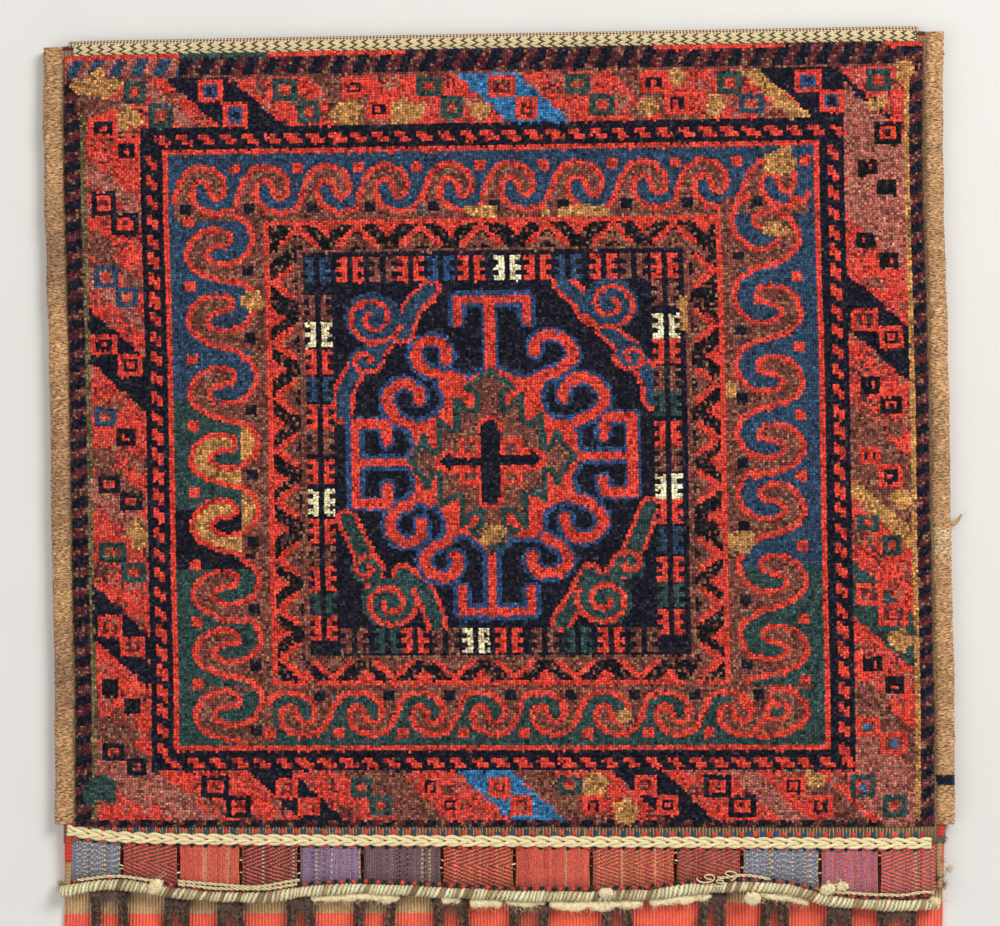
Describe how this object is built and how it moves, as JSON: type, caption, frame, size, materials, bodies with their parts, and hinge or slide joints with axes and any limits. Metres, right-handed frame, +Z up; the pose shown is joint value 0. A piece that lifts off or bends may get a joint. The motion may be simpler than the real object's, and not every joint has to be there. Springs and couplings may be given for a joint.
{
  "type": "woven saddle bag",
  "caption": "Double saddle bag of one woven web: a flat bridge between two pocket pouches with knotted wool pile fronts, goat hair side bindings and braided closure loops.",
  "frame": {"origin": "on the floor under the middle of the bridge, with the bag laid flat and open", "axes": "+X across the bag, +Y along it towards the first pouch, +Z up out of the pile"},
  "size_m": [0.632, 1.4568, 0.0178],
  "materials": {
    "kilim_wool": "matte weft-faced wool weave",
    "pile_wool": "matte knotted wool pile",
    "goat_hair": "matte tan goat hair overcasting",
    "dark_goat_hair": "matte dark braided goat hair",
    "ivory_wool": "matte ivory wool yarn"
  },
  "bodies": {
    "root": {"ground_cloth": "kilim_wool", "pouch_front_a": "kilim_wool", "pouch_fold_a": "kilim_wool", "side_seam_a_left": "kilim_wool", "side_seam_a_right": "kilim_wool", "knotted_pile_a": "pile_wool", "side_binding_a_left": "goat_hair", "side_binding_a_right": "goat_hair", "mouth_roll_a": "ivory_wool", "closure_twining_a": "ivory_wool", "fold_twining_a": "ivory_wool", "closure_loop_a_01": "dark_goat_hair", "closure_loop_a_02": "dark_goat_hair", "closure_loop_a_03": "dark_goat_hair", "closure_loop_a_04": "dark_goat_hair", "closure_loop_a_05": "dark_goat_hair", "closure_loop_a_06": "dark_goat_hair", "closure_loop_a_07": "dark_goat_hair", "closure_loop_a_08": "dark_goat_hair", "closure_loop_a_09": "dark_goat_hair", "closure_loop_a_10": "dark_goat_hair", "closure_loop_a_11": "dark_goat_hair", "closure_loop_a_12": "dark_goat_hair", "pouch_front_b": "kilim_wool", "pouch_fold_b": "kilim_wool", "side_seam_b_left": "kilim_wool", "side_seam_b_right": "kilim_wool", "knotted_pile_b": "pile_wool", "side_binding_b_left": "goat_hair", "side_binding_b_right": "goat_hair", "mouth_roll_b": "ivory_wool", "closure_twining_b": "ivory_wool", "fold_twining_b": "ivory_wool", "closure_loop_b_01": "dark_goat_hair", "closure_loop_b_02": "dark_goat_hair", "closure_loop_b_03": "dark_goat_hair", "closure_loop_b_04": "dark_goat_hair", "closure_loop_b_05": "dark_goat_hair", "closure_loop_b_06": "dark_goat_hair", "closure_loop_b_07": "dark_goat_hair", "closure_loop_b_08": "dark_goat_hair", "closure_loop_b_09": "dark_goat_hair", "closure_loop_b_10": "dark_goat_hair", "closure_loop_b_11": "dark_goat_hair", "closure_loop_b_12": "dark_goat_hair"}
  },
  "joints": []
}
